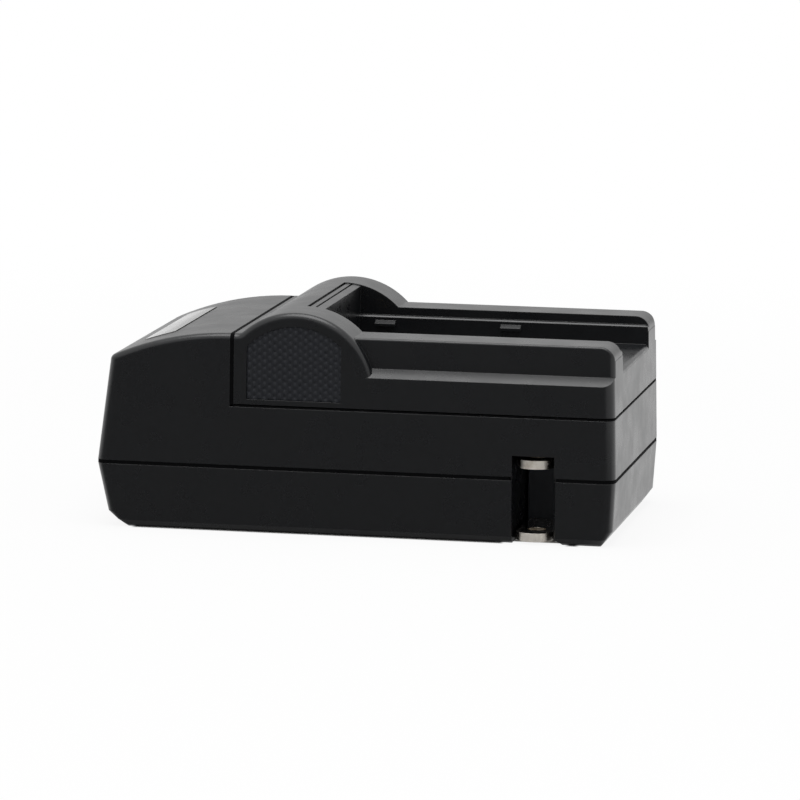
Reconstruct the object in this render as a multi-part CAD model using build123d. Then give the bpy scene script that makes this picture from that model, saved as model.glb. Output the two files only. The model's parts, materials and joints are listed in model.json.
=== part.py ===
from build123d import *
import os
from math import radians, tan, sqrt

# Plug-in charger for camera batteries, lying on its base: two moulded shells, a battery plate
# that slides off the deck, and a two-pin mains plug that folds out of a slot in the side.
# Frame: origin under the middle of the base, +X to the open end of the battery bay,
# -Y to the side with the plug slot, +Z up. All sizes are millimetres.

# Overall form
length = 91.5               # over the ends, at the joint between the shells
width = 55.2                # over the long sides, at the same joint
split_height = 11.5         # middle of the groove between the shells
deck_height = 22.1          # top of the deck that carries the plate
nose_height = 34.9          # nose top, where the plate butts against it
nose_length = 23.75         # nose, from the end of the body to its face at the plate
nose_arc = 50.0             # radius of the nose top
corner_radius = 2.2         # upright corners of the body
base_corner = 0.4           # the same at the foot of the base chamfers
wall = 2.0                  # shells, deck and plate
nose_draft_up = 7.0         # lean of the nose end above the joint, degrees
nose_draft_down = 12.0      # lean of the nose end below the joint
end_draft_up = 1.6          # lean of the open end above the joint
end_draft_down = 3.0        # lean of the open end below the joint
side_draft_down = 4.0       # lean of the long sides below the joint
end_chamfer_height = 2.6    # base chamfer at both ends
nose_chamfer = 3.0          # how far it reaches in at the nose
end_chamfer = 1.8           # how far it reaches in at the open end
side_chamfer = 1.25         # base chamfer along the sides
groove_height = 0.65        # groove between the shells
groove_depth = 0.8
nose_edge = 1.2             # rounding of the nose's top edges

# Indicator window in the nose
window_reach = 6.4          # from the nose end of the body to the window
window_width = 5.4          # along the body
window_length = 36.0        # across the nose
window_corner = 1.2
window_thick = 1.2          # below the nose's surface
window_rise = 0.12          # window above the nose's surface
window_seat = 0.1           # air under the window's rim
window_gap = 0.25           # line round the window
window_ledge = 1.2          # width of the seat under the rim

# Battery plate
seam = 0.7                  # gap between nose and plate
plate_gap = 0.5             # gap between deck and plate, all round
plinth = 0.35               # raised middle of the deck, which closes that gap to the eye
plinth_inset = 1.0
shoulder = 1.1              # level stretch between the seam and the arch
arch_rise = 3.95            # crest of the arch above the nose
arch_radius = 13.95
arch_blend = 1.5            # hollow rounding where the arch meets the shoulder
arch_edge = 1.2             # rounding of the cheeks' outer edges
rail_height = 34.7          # top of the side walls of the bay
rail_inset = 2.0            # side walls, back from the cheeks
rail_corner = 2.5           # upper corner of the side walls at the open end
rail_end = 1.25             # their upright corners there
rail_edge = 0.45            # rounding of the side walls' top
ledge_height = 28.05        # outer edge of the sloping ledge beside the walls
ledge_rise = 1.4
bay_depth = 4.9             # floor below the top of the walls
bay_width = 32.3            # battery width and play
bay_start = 38.3            # contact wall, from the nose end of the body
step_drop = 1.5             # rebate along the inside of the walls, below their top
step_depth = 1.25
step_chamfer = 0.25         # broken inner edge of the rebate
floor_edge = 0.8            # rounding of floor and rebate at the open end
tab_places = (43.15, 66.0)  # retaining tabs, from the nose end of the body
tab_length = 3.7
tab_drop = 2.3              # tabs below the top of the walls
tab_thick = 1.0
tab_depth = 0.9
tab_slope = 0.5             # lead-in slope on top of the tabs
bridge_groove = 0.4         # fine grooves across the bridge
groove_places = (35.45, 36.7)  # from the nose end of the body
bridge_step = 0.2           # bridge below the arch, from the first groove to the bay
grip_depth = 0.35           # sunk field for the finger grip on each cheek
grip_margin = 2.4           # field below the arch
grip_start = 26.7           # from the nose end of the body
grip_end = 43.4
grip_rise = 0.9             # lower edge of the field above the plate's edge
hook_from_nose = 32.0       # hooks under the plate, from the two ends of the body
hook_from_end = 18.5
hook_inset = 7.6            # hooks, from the long sides
hook_length = 3.0
hook_width = 2.4
hook_thick = 1.2
plate_travel = 6.0          # slide that frees the hooks
fit = 0.3                   # play between pieces that move past each other
rib_inset = 4.4             # ribs that carry the plate on the deck, from the long sides
rib_thick = 1.6

# Folding plug
blade_width = 6.35
blade_thick = 1.5
blade_spacing = 12.7        # between the middles of the two blades
blade_reach = 16.7          # blade beyond the rotor's face
blade_root = 5.5            # blade inside the rotor
blade_hole = 3.2
blade_hole_inset = 5.3      # hole, from the tip
tip_inset = 0.4             # folded tips behind the side of the body
plug_from_end = 14.2        # middle of the slot, from the open end of the body
slot_width = 7.4
slot_mouth = 1.4            # finger flare at the base, on the side of the open end
slot_mouth_height = 1.0
slot_edge = 0.3             # broken upright edges of the slot in the lower shell
rotor_lift = 0.5            # rotor above the base
slot_headroom = 0.8         # above the rotor
pocket_wall = 1.8           # walls round the plug inside the body
journal_radius = 2.5
journal_play = 0.1
journal_end = 0.3           # journal beyond the outer face of its wall
cap_radius = 2.0            # metal caps on the journals

# Screws
screw_inset = 6.1           # from the long sides
screw_from_nose = 7.5
screw_from_end = 6.1
boss_half = 2.8             # half the width of the square screw posts
screw_radius = 1.1
screw_head = 2.1
screw_head_thick = 1.5
screw_depth = 7.0           # underside of the heads above the base
screw_length = 10.5
screw_play = 0.15
drive_length = 2.6          # cross recess in the heads
drive_width = 0.65
drive_depth = 0.75

# Contacts
contact_width = 2.2         # sprung battery contacts
contact_thick = 0.4
contact_pitch = 5.0
contact_offset = -6.5       # middle contact, from the middle line
contact_bulge = 1.3         # how far they stand into the bay
contact_sweep = 3.8         # height of the bulge
contact_foot = 0.8          # start of the bulge above the floor of the bay
contact_tail = 1.2          # end of the strip, held behind the contact wall
contact_pad = 5.0           # pad under the plate
spring_gap = 0.3            # contact springs on the case, from what they feed
spring_rise = 1.25          # ramps of the deck springs

# Boards
board_lift = 3.0            # board above the floor of the lower shell
board_thick = 1.6
board_from_nose = 5.0       # board, from the nose end of the body
board_from_end = 22.0       # board, from the open end of the body
board_gap = 0.8             # board, from the side walls at the floor
board_play = 0.4            # round the screw posts
post_inset = 5.6            # board posts, from the board's edges
post_half = 2.0             # half the width of the board posts
display_drop = 8.8          # underside of the small board below the nose top
display_thick = 1.0
display_width = 8.4
display_gap = 2.1           # small board, from the side walls
led_length = 3.0
led_width = 1.6
led_height = 1.2
led_side = 6.0              # from the middle line

# Parts on the main board, near the nose: places from its edge there and from the middle line
chip_edge = 0.3             # broken upper edges of moulded parts
controller_x = 11.0
controller_y = 0.0
controller_length = 4.0
controller_width = 10.0
controller_height = 1.6
output_can_x = 19.0
output_can_y = 14.0
output_can_radius = 4.0
output_can_height = 10.0
choke_x = 21.0
choke_y = -13.0
choke_size = 9.0
choke_height = 6.5
safety_x = 33.0
safety_y = 14.5
safety_length = 10.0
safety_width = 5.0
safety_height = 9.0
transistor_x = 34.0
transistor_y = -17.0
transistor_width = 8.0
transistor_thick = 3.0
transistor_height = 10.0
transistor_hole = 3.2
transistor_hole_height = 7.6

# Parts on the main board, near the plug: places from its edge there and from the middle line
core_x = 20.5
core_y = 2.0
core_width = 17.0
core_height = 10.0
core_depth = 6.0
core_leg = 2.0
winding_play = 0.3
part_gap = 1.25             # between the transformer and its neighbours
opto_length = 6.5
opto_width = 4.6
opto_height = 3.5
rectifier_length = 6.5
rectifier_width = 8.0
rectifier_height = 2.6
input_can_x = 9.5
input_can_y = -14.5
input_can_radius = 5.0
input_can_height = 10.0
fuse_x = 7.5
fuse_y = 14.0
fuse_length = 4.0
fuse_width = 8.4
fuse_height = 8.0

# Heights and places that follow from the sizes above
half_length = length / 2
half_width = width / 2
seat = split_height + groove_height / 2
rim = split_height - groove_height / 2
seam_x = nose_length - half_length
plate_x = seam_x + seam
plate_base = deck_height + plate_gap
plate_seat = deck_height + plinth
deck_under = deck_height - wall
arch_height = nose_height + arch_rise
arch_z = arch_height - arch_radius
shoulder_x = plate_x + shoulder
arch_x = shoulder_x + sqrt(arch_radius ** 2 - (nose_height - arch_z) ** 2)
rail_side = half_width - rail_inset
bay_floor = rail_height - bay_depth
step_height = rail_height - step_drop
rebate = bay_width / 2 + step_depth
bay_x = bay_start - half_length
rotor_radius = blade_spacing / 2 + blade_thick / 2
rotor_width = slot_width - 2 * fit
plug_x = half_length - plug_from_end
axis_z = rotor_lift + rotor_radius
axis_y = tip_inset + blade_reach + rotor_radius - half_width
slot_top = axis_z + rotor_radius + slot_headroom
slot_back = axis_y + rotor_radius + fit
ear = slot_width / 2 + pocket_wall
screw_xs = (screw_from_nose - half_length, half_length - screw_from_end)
screw_ys = (screw_inset - half_width, half_width - screw_inset)
hook_xs = (hook_from_nose - half_length, half_length - hook_from_end)
hook_ys = (hook_inset - half_width, half_width - hook_inset)
contact_ys = [contact_offset + step * contact_pitch for step in (-1, 0, 1)]
contact_low = bay_floor + contact_foot
pad_x = bay_x - wall - contact_thick - contact_pad
board_low = wall + board_lift
board_top = board_low + board_thick
board_x = board_from_nose - half_length
board_length = length - board_from_nose - board_from_end
window_x = window_reach - half_length + window_width / 2
display_height = nose_height - display_drop
over = 1.0                  # cutters beyond the surface that they cut
far = 2 * length            # cutters beyond everything
near = 0.05                 # how closely an edge has to lie where it is looked for


def reach(z):
    """Left end, right end and half width of the body's outside at a height."""
    up = max(z - seat, 0)
    down = max(rim - z, 0)
    left = -half_length + up * tan(radians(nose_draft_up)) + down * tan(radians(nose_draft_down))
    right = half_length - up * tan(radians(end_draft_up)) - down * tan(radians(end_draft_down))
    half = half_width - down * tan(radians(side_draft_down))
    end_cut = max(1 - z / end_chamfer_height, 0)
    side_cut = max(1 - z / side_chamfer, 0)
    return left + nose_chamfer * end_cut, right - end_chamfer * end_cut, half - side_chamfer * side_cut


def section(z, inset):
    """Level outline of the body at a height, drawn in by an inset, with square corners inside the wall."""
    left, right, half = reach(z)
    size_x = right - left - 2 * inset
    size_y = 2 * (half - inset)
    radius = base_corner + (corner_radius - base_corner) * min(z / end_chamfer_height, 1)
    outline = RectangleRounded(size_x, size_y, radius) if inset < wall else Rectangle(size_x, size_y)
    return Pos((left + right) / 2, 0, z) * outline


def lower_hull(levels):
    """Body below the joint: level outlines, each a height and an inset, with straight sides between."""
    return loft([section(z, inset) for z, inset in levels], ruled=True)


def square_hull(low, high, inset, end_inset):
    """Body above the joint between two heights: upright sides, leaning ends, square corners."""
    corners = [(reach(low)[0] + end_inset, low), (reach(low)[1] - end_inset, low),
               (reach(high)[1] - end_inset, high), (reach(high)[0] + end_inset, high)]
    return across(Polygon(*corners, align=None), half_width - inset)


def upper_hull(low, high, inset=0.0):
    """Body above the joint between two heights, with its rounded corners."""
    return round_corners(square_hull(low, high, inset, inset), corner_radius)


def round_corners(body, radius):
    """Round the upright corners of a body."""
    return fillet([edge for edge in body.edges() if abs(edge.tangent_at(0.5).Z) > 0.5], radius)


def block(x0, x1, y0, y1, z0, z1):
    """Box from its corner values."""
    return Pos((x0 + x1) / 2, (y0 + y1) / 2, (z0 + z1) / 2) * Box(x1 - x0, y1 - y0, z1 - z0)


def post(x, y, half, z0, z1):
    """Square post between two heights."""
    return block(x - half, x + half, y - half, y + half, z0, z1)


def across(outline, half):
    """Outline drawn in X and Z, carried across the body to both sides of the middle."""
    return extrude(Plane.XZ * outline, amount=half, both=True)


def both_sides(shape):
    """A shape and its mirror image on the other side of the middle line."""
    return shape + mirror(shape, about=Plane.XZ)


def upright(x, y, z0, z1, radius):
    """Round post between two heights."""
    return Pos(x, y, (z0 + z1) / 2) * Cylinder(radius, z1 - z0)


def lying(x0, x1, y, z, radius):
    """Round bar along X."""
    return Pos((x0 + x1) / 2, y, z) * (Rot(0, 90, 0) * Cylinder(radius, x1 - x0))


def nose_outline(inset):
    """Side view of all that lies under the deck and the nose, drawn in by an inset."""
    radius = nose_arc - inset
    low = nose_height - nose_arc
    left = -half_length - over
    right = half_length + over
    middle = (seam_x + left) / 2
    face = seam_x - inset
    deck = deck_height - inset

    def height(x):
        return low + sqrt(radius ** 2 - (x - seam_x) ** 2)

    edges = Polyline((left, height(left)), (left, 0), (right, 0), (right, deck), (face, deck),
                     (face, height(face)))
    edges += ThreePointArc((face, height(face)), (middle, height(middle)), (left, height(left)))
    return make_face(edges)


def window_outline(grow):
    """Plan of the indicator window, grown all round."""
    return Pos(window_x, 0) * RectangleRounded(window_width + 2 * grow, window_length + 2 * grow,
                                               window_corner + grow)


def nose_layer(outer, inner):
    """Curved layer under the nose top, between two depths."""
    ring = Circle(nose_arc - outer) - Circle(nose_arc - inner)
    return across(Pos(seam_x, nose_height - nose_arc) * ring, half_width)


def plug_pocket(z0, z1, grow):
    """Space round the folded plug between two heights, or its walls' outside when grown."""
    half = slot_width / 2 + grow
    return block(plug_x - half, plug_x + half, -half_width - over, slot_back + grow, z0, z1)


def is_slot_edge(edge):
    """True for the slot's upright edges in the side of the lower shell, between chamfer and groove."""
    middle = edge.center()
    beside = abs(abs(middle.X - plug_x) - slot_width / 2) < near
    outside = abs(middle.Y + reach(middle.Z)[2]) < 2 * near
    return beside and outside and side_chamfer < middle.Z < rim


def board_posts():
    """Places of the four posts that carry the main board, clear of the screw posts."""
    xs = (screw_xs[0] + boss_half + post_inset, board_x + board_length - post_inset)
    side = board_side() - post_inset
    return [(x, y) for x in xs for y in (-side, side)]


def board_side():
    """Half width of the main board."""
    return reach(wall)[2] - wall - board_gap


def make_lower_case():
    """Lower shell: chamfered tray with a tongue at the joint, screw and board posts, and the plug slot."""
    floor_levels = [(wall, wall), (end_chamfer_height, wall), (rim, wall), (seat + over, wall)]
    shell = lower_hull([(0, 0), (side_chamfer, 0), (end_chamfer_height, 0), (rim, 0)])
    shell += lower_hull([(split_height - groove_height, groove_depth), (seat, groove_depth)])
    shell -= lower_hull(floor_levels)
    for x in screw_xs:
        for y in screw_ys:
            shell += post(x, y, boss_half, wall / 2, seat)
    for x, y in board_posts():
        shell += post(x, y, post_half, wall / 2, board_low)
    inner = lower_hull([(wall / 2, groove_depth), (end_chamfer_height, groove_depth), (seat, groove_depth)])
    shell += plug_pocket(wall / 2, seat, pocket_wall) & inner
    shell -= plug_pocket(-over, seat + over, 0)
    shell = chamfer([edge for edge in shell.edges() if is_slot_edge(edge)], slot_edge)
    half = slot_width / 2
    mouth = Polygon((half, 0), (half + slot_mouth, 0), (half, slot_mouth_height), align=None)
    flare = extrude(Plane.XZ * mouth, amount=half_width + slot_back, dir=(0, -1, 0))
    shell -= Pos(plug_x, slot_back, 0) * flare
    saddle = journal_radius + journal_play
    shell -= lying(plug_x - ear, plug_x + ear, axis_y, axis_z, saddle)
    shell -= block(plug_x - ear, plug_x + ear, axis_y - saddle, axis_y + saddle, axis_z, seat + over)
    for x in screw_xs:
        for y in screw_ys:
            shell -= upright(x, y, 0, screw_depth, screw_head + screw_play)
            shell -= upright(x, y, 0, seat, screw_radius + screw_play)
    return shell


def make_upper_case():
    """Upper shell: sloping nose with the window's seat, deck with its plinth, screw posts and plug roof."""
    outside = upper_hull(seat, nose_height + over)
    outside &= across(nose_outline(0), half_width)
    top = outside.faces().filter_by(GeomType.CYLINDER).sort_by(SortBy.AREA)[-1]
    rounded = [edge for edge in top.edges() if edge.center().X < seam_x - near]
    shell = fillet(rounded, nose_edge)
    inside = square_hull(seat, nose_height + over, wall, wall)
    shell -= inside & across(nose_outline(wall), half_width)
    raised = upper_hull(deck_under, plate_seat, plinth_inset)
    shell += raised & block(seam_x - wall, half_length, -half_width, half_width, deck_under, plate_seat)
    for x in screw_xs:
        under_nose = x < seam_x
        top = display_height if under_nose else deck_height - wall / 2
        for y in screw_ys:
            shell += post(x, y, boss_half, seat, top)
            edge = half_width - wall / 2 if y > 0 else wall / 2 - half_width
            shell += block(x - wall / 2, x + wall / 2, min(y, edge), max(y, edge), seat, top)
            shell -= upright(x, y, seat, seat + screw_length, screw_radius + screw_play)
    room = upper_hull(seat, deck_height, groove_depth)
    shell += plug_pocket(seat, slot_top + pocket_wall, pocket_wall) & room
    shell -= plug_pocket(seat, slot_top, 0)
    for side in (-1, 1):
        middle = plug_x + side * (slot_width + pocket_wall) / 2
        shell += block(middle - pocket_wall / 2, middle + pocket_wall / 2, axis_y - journal_radius,
                       axis_y + journal_radius, axis_z + journal_radius + fit, seat)
    shell -= extrude(window_outline(window_gap), amount=far) & nose_layer(-over, window_thick + window_seat)
    opening = Rectangle(window_width - 2 * window_ledge, window_length - 2 * window_ledge)
    shell -= extrude(Pos(window_x, 0) * opening, amount=far) & nose_layer(-over, 2 * wall)
    for x in hook_xs:
        for y in hook_ys:
            half = hook_width / 2 + fit
            shell -= block(x - fit, x + hook_length + plate_travel + fit, y - half, y + half,
                           deck_under - over, plate_base)
    for y in contact_ys:
        half = contact_width / 2 + fit
        shell -= block(pad_x - fit, pad_x + contact_pad + fit, y - half, y + half,
                       deck_under - over, plate_base)
    return shell


def make_indicator_window():
    """Curved window that follows the nose."""
    return extrude(window_outline(0), amount=far) & nose_layer(-window_rise, window_thick)


def arch_outline(inset, x0, x1, z0):
    """Side view of the arch drawn in by an inset, between two places, down to a height."""
    under = Pos(arch_x, arch_z) * Circle(arch_radius - inset)
    under += Pos(arch_x, (z0 + arch_z) / 2) * Rectangle(2 * (arch_radius - inset), arch_z - z0)
    return under & Pos((x0 + x1) / 2, (z0 + arch_height) / 2) * Rectangle(x1 - x0, arch_height - z0)


def cheek_outline():
    """Side view of the cheeks and the bridge: shoulder, arch down to the ledge, and the base."""
    foot_x = arch_x + sqrt(arch_radius ** 2 - (ledge_height - arch_z) ** 2)
    edges = Polyline((foot_x, ledge_height), (foot_x, plate_base), (plate_x, plate_base),
                     (plate_x, nose_height), (shoulder_x, nose_height))
    edges += ThreePointArc((shoulder_x, nose_height), (arch_x, arch_height), (foot_x, ledge_height))
    face = make_face(edges)
    hollow = [corner for corner in face.vertices()
              if abs(corner.X - shoulder_x) < near and abs(corner.Y - nose_height) < near]
    return fillet(hollow, arch_blend)


def round_over(right, top, radius):
    """What lies outside a rounded upper corner, in side view."""
    middle = Pos(right - radius, top - radius)
    return middle * Rectangle(2 * radius, 2 * radius, align=(Align.MIN, Align.MIN)) - middle * Circle(radius)


def rail_outline():
    """Side view of the bay's walls, with the rounded upper corner at the open end."""
    right = reach(rail_height)[1]
    low = ledge_height - ledge_rise
    outline = Polygon((arch_x, low), (right + over, low), (right + over, rail_height), (arch_x, rail_height),
                      align=None)
    return outline - round_over(right, rail_height, rail_corner)


def bay_outline(level, radius):
    """Side view of the space over a level of the bay, which rounds down at the open end."""
    right = reach(level)[1]
    top = arch_height + over
    space = Polygon((bay_x, level), (right + over, level), (right + over, top), (bay_x, top), align=None)
    return space + round_over(right, level, radius)


def is_cheek_edge(edge):
    """True for the outer edges of the arch and its shoulder, on either side."""
    middle = edge.center()
    on_side = abs(abs(middle.Y) - half_width) < near
    along = abs(edge.tangent_at(0.5).Y) < 0.5
    level = abs(edge.tangent_at(0.5).Z) < 0.99
    return on_side and along and level and middle.Z > plate_base + near


def is_rail_edge(edge):
    """True for the long outer edges on top of the bay's walls."""
    middle = edge.center()
    along = abs(edge.tangent_at(0.5).X) > 0.9
    return along and middle.Z > rail_height - near and abs(middle.Y) > rebate


def make_plate_skin():
    """Outside of the plate: cheeks and bridge under the arch, the bay's walls and the ledges."""
    skin = upper_hull(plate_base, arch_height + over)
    cheeks = skin & across(cheek_outline(), half_width)
    cheeks = fillet([edge for edge in cheeks.edges() if is_cheek_edge(edge)], arch_edge)
    rails = round_corners(square_hull(plate_base, arch_height + over, rail_inset, 0), rail_end)
    rails &= across(rail_outline(), half_width)
    rails = fillet([edge for edge in rails.edges() if is_rail_edge(edge)], rail_edge)
    base = skin & block(plate_x, far, -half_width, half_width, plate_base, ledge_height)
    top = ledge_height + ledge_rise
    root = rail_side - wall
    low = ledge_height - wall
    slope = Polygon((half_width, ledge_height), (rail_side, top), (root, top), (root, low), (half_width, low),
                    align=None)
    ledge = extrude(Plane.YZ * slope, amount=half_length, dir=(1, 0, 0)) & skin
    return base + cheeks + rails + both_sides(ledge)


def retaining_tabs():
    """Tabs on the bay's walls that hold the battery down, with a lead-in slope on top."""
    inner = bay_width / 2
    root = inner + step_depth
    top = rail_height - tab_drop
    profile = Polygon((root, top), (inner, top), (inner - tab_depth, top - tab_slope),
                      (inner - tab_depth, top - tab_thick), (root, top - tab_thick), align=None)
    tabs = Part()
    for place in tab_places:
        x = place - half_length
        tabs += Pos(x, 0, 0) * extrude(Plane.YZ * profile, amount=tab_length / 2, both=True)
    return both_sides(tabs)


def make_battery_plate():
    """Plate that carries the battery: hollow below, with the bay, grip fields, ribs and hooks."""
    plate = make_plate_skin()
    plate -= across(bay_outline(bay_floor, floor_edge), bay_width / 2)
    plate -= across(bay_outline(step_height, floor_edge), rebate)
    inner = bay_width / 2
    broken = Polygon((inner, step_height - step_chamfer), (inner + step_chamfer, step_height),
                     (inner, step_height), align=None)
    plate -= both_sides(Pos(bay_x, 0, 0) * extrude(Plane.YZ * broken, amount=length, dir=(1, 0, 0)))
    plate += retaining_tabs()
    first = groove_places[0] - half_length
    plate -= across(arch_outline(0, first, bay_x + over, arch_z)
                    - arch_outline(bridge_step, first, bay_x + over, arch_z), rebate)
    for place in groove_places:
        x = place - half_length
        top = arch_z + sqrt(arch_radius ** 2 - (x - arch_x) ** 2) - bridge_step
        plate -= block(x - bridge_groove / 2, x + bridge_groove / 2, -rebate, rebate,
                       top - bridge_groove, arch_height + over)
    field = arch_outline(grip_margin, grip_start - half_length, grip_end - half_length,
                         plate_base + grip_rise)
    plate -= across(field, half_width) - across(field, half_width - grip_depth)
    left = plate_x + wall
    right = reach(plate_base)[1] - 2 * wall
    roof = bay_floor - wall
    plate -= block(left, right, -rail_side, rail_side, 0, roof)
    plate -= both_sides(block(bay_x - wall, right, rebate + wall, rail_side - wall, 0, rail_height - wall))
    plate -= across(arch_outline(wall, left, bay_x - wall, 0), bay_width / 2 - wall / 2)
    for y in contact_ys:
        half = contact_width / 2 + fit
        plate -= block(bay_x - wall - over, bay_x + over, y - half, y + half,
                       contact_low - fit, contact_low + contact_sweep + fit)
    rib_side = half_width - rib_inset
    plate += both_sides(block(left, right, rib_side - rib_thick / 2, rib_side + rib_thick / 2,
                              plate_seat, roof + wall / 2))
    return plate + plate_hooks()


def plate_hooks():
    """Four L-shaped hooks that reach through the deck and lie under its edge."""
    hooks = Part()
    top = rail_height - wall / 2
    under = deck_under - fit
    for x in hook_xs:
        for y in hook_ys:
            low, high = y - hook_width / 2, y + hook_width / 2
            hooks += block(x, x + hook_length, low, high, under - hook_thick, top)
            hooks += block(x - hook_length, x + hook_length, low, high, under - hook_thick, under)
    return hooks


def strip(points, y):
    """Bent metal strip along points in side view."""
    return Pos(0, y, 0) * across(trace(Polyline(*points), contact_thick), contact_width / 2)


def make_plate_contact(y):
    """Sprung battery contact: pad under the plate, upright behind the contact wall, bulge into the bay."""
    x = bay_x - wall - contact_thick / 2
    pad = plate_base + contact_thick / 2
    high = contact_low + contact_sweep
    crest = (bay_x + contact_bulge - contact_thick / 2, contact_low + contact_sweep / 2)
    return strip([(pad_x, pad), (x, pad), (x, contact_low), crest, (x, high), (x, high + contact_tail)], y)


def make_deck_contacts():
    """Springs under the deck that rise through it to the plate's pads."""
    flat = deck_under - contact_thick / 2
    top = plate_base - spring_gap - contact_thick / 2
    first = pad_x + contact_thick
    last = pad_x + contact_pad - contact_thick
    route = [(pad_x - contact_pad, flat), (first, flat), (first + spring_rise, top),
             (last - spring_rise, top), (last, deck_under + contact_thick)]
    return Compound(children=[strip(route, y) for y in contact_ys])


def make_plug_rotor():
    """Moulded block that carries the blades, with a journal at each end."""
    profile = Circle(rotor_radius)
    profile += Rectangle(rotor_radius, 2 * rotor_radius, align=(Align.MAX, Align.CENTER))
    rotor = extrude(Plane.YZ * (Pos(axis_y, axis_z) * profile), amount=rotor_width / 2, both=True)
    rotor = Pos(plug_x, 0, 0) * rotor
    half = ear + journal_end
    rotor += lying(plug_x - half, plug_x + half, axis_y, axis_z, journal_radius)
    for side in (-1, 1):
        rotor -= blade_blank(side)
    return rotor


def blade_blank(side):
    """Flat blade with a round tip, the lower one for -1 and the upper one for 1."""
    tip = tip_inset - half_width
    root = axis_y - rotor_radius + blade_root
    z = axis_z + side * blade_spacing / 2
    start = tip + blade_width / 2
    plan = Pos(plug_x, start) * Circle(blade_width / 2)
    plan += Pos(plug_x, (start + root) / 2) * Rectangle(blade_width, root - start)
    return Pos(0, 0, z) * extrude(plan, amount=blade_thick / 2, both=True)


def make_blade(side):
    """Blade with the hole that a socket's detent drops into."""
    hole = upright(plug_x, tip_inset - half_width + blade_hole_inset, 0, slot_top, blade_hole / 2)
    return blade_blank(side) - hole


def make_journal_contacts():
    """Metal caps on the ends of the journals."""
    half = ear + journal_end
    starts = (plug_x - half - contact_thick, plug_x + half)
    return Compound(children=[lying(x, x + contact_thick, axis_y, axis_z, cap_radius) for x in starts])


def make_mains_springs():
    """Strips that stand on the floor and press towards the journal caps."""
    half = ear + journal_end + contact_thick + spring_gap
    top = axis_z + journal_radius
    springs = []
    for x in (plug_x - half - contact_thick, plug_x + half):
        springs.append(block(x, x + contact_thick, axis_y - journal_radius, axis_y + journal_radius,
                             wall, top))
    return Compound(children=springs)


def make_case_screws():
    """Four screws that hold the shells together from below, with a cross recess in each head."""
    low = screw_depth - screw_head_thick
    screws = []
    for x in screw_xs:
        for y in screw_ys:
            screw = upright(x, y, low, screw_depth, screw_head)
            screw += upright(x, y, screw_depth, screw_depth + screw_length, screw_radius)
            for size_x, size_y in ((drive_length, drive_width), (drive_width, drive_length)):
                screw -= Pos(x, y, low + drive_depth / 2) * Box(size_x, size_y, drive_depth)
            screws.append(screw)
    return Compound(children=screws)


def make_circuit_board():
    """Main board, notched round the two screw posts under the nose."""
    side = board_side()
    board = block(board_x, board_x + board_length, -side, side, board_low, board_top)
    room = boss_half + board_play
    for y in screw_ys:
        board -= block(board_x - over, screw_xs[0] + room, y - room, y + room, 0, split_height)
    return board


def make_display_board():
    """Small board on the posts under the nose, which carries the lamps."""
    side = half_width - wall - display_gap
    return block(window_x - display_width / 2, window_x + display_width / 2, -side, side,
                 display_height, display_height + display_thick)


def make_status_leds():
    """Two flat lamps under the window."""
    low = display_height + display_thick
    lamps = [Pos(window_x, y, low) * chip(led_width, led_length, led_height) for y in (-led_side, led_side)]
    return Compound(children=lamps)


def from_nose(x, y, shape):
    """Stand a piece on the main board, placed from its edge under the nose and from the middle line."""
    return Pos(board_x + x, y, board_top) * shape


def from_plug(x, y, shape):
    """Stand a piece on the main board, placed from its edge near the plug and from the middle line."""
    return Pos(board_x + board_length - x, y, board_top) * shape


def can(radius, height):
    """Round can."""
    return Pos(0, 0, height / 2) * Cylinder(radius, height)


def chip(size_x, size_y, size_z):
    """Moulded package with broken upper edges."""
    package = Pos(0, 0, size_z / 2) * Box(size_x, size_y, size_z)
    return chamfer(package.faces().sort_by(Axis.Z)[-1].edges(), chip_edge)


def core_window():
    """Width of each of the two openings in the transformer's frame."""
    return (core_width - 4 * core_leg) / 2


def make_transformer_core():
    """Ferrite frame with a middle leg twice as thick as the others."""
    frame = Rectangle(core_width, core_height, align=(Align.CENTER, Align.MIN))
    for side in (-1, 1):
        x = side * (core_leg + core_window() / 2)
        opening = Rectangle(core_window(), core_height - 2 * core_leg, align=(Align.CENTER, Align.MIN))
        frame -= Pos(x, core_leg) * opening
    return from_plug(core_x, core_y, across(frame, core_depth / 2))


def make_transformer_winding():
    """Taped winding round the middle leg."""
    turns = core_window() - winding_play
    plan = Rectangle(2 * core_leg + 2 * turns, core_depth + 2 * turns)
    plan -= Rectangle(2 * core_leg, core_depth)
    winding = extrude(plan, amount=core_height - 2 * core_leg)
    return from_plug(core_x, core_y, Pos(0, 0, core_leg) * winding)


def make_transistor():
    """Flat power transistor with its mounting hole, upright on the board."""
    body = chip(transistor_width, transistor_thick, transistor_height)
    hole = Rot(90, 0, 0) * Cylinder(transistor_hole / 2, transistor_thick)
    return from_nose(transistor_x, transistor_y, body - Pos(0, 0, transistor_hole_height) * hole)


def save(shape, node):
    """Write one piece to its own file."""
    export_step(shape, os.path.join("parts", node + ".step"))


os.makedirs("parts", exist_ok=True)
save(make_lower_case(), "lower_case")
save(make_upper_case(), "upper_case")
save(make_indicator_window(), "indicator_window")
save(make_case_screws(), "case_screws")
save(make_battery_plate(), "battery_plate")
for node, row in zip(("positive_contact", "data_contact", "negative_contact"), contact_ys):
    save(make_plate_contact(row), node)
save(make_deck_contacts(), "deck_contacts")
save(make_plug_rotor(), "plug_rotor")
save(make_blade(-1), "live_blade")
save(make_blade(1), "neutral_blade")
save(make_journal_contacts(), "journal_contacts")
save(make_mains_springs(), "mains_springs")
save(make_circuit_board(), "circuit_board")
save(make_display_board(), "display_board")
save(make_status_leds(), "status_leds")
save(make_transformer_core(), "transformer_core")
save(make_transformer_winding(), "transformer_winding")
save(make_transistor(), "switching_transistor")
controller = chip(controller_length, controller_width, controller_height)
save(from_nose(controller_x, controller_y, controller), "charge_controller")
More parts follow.
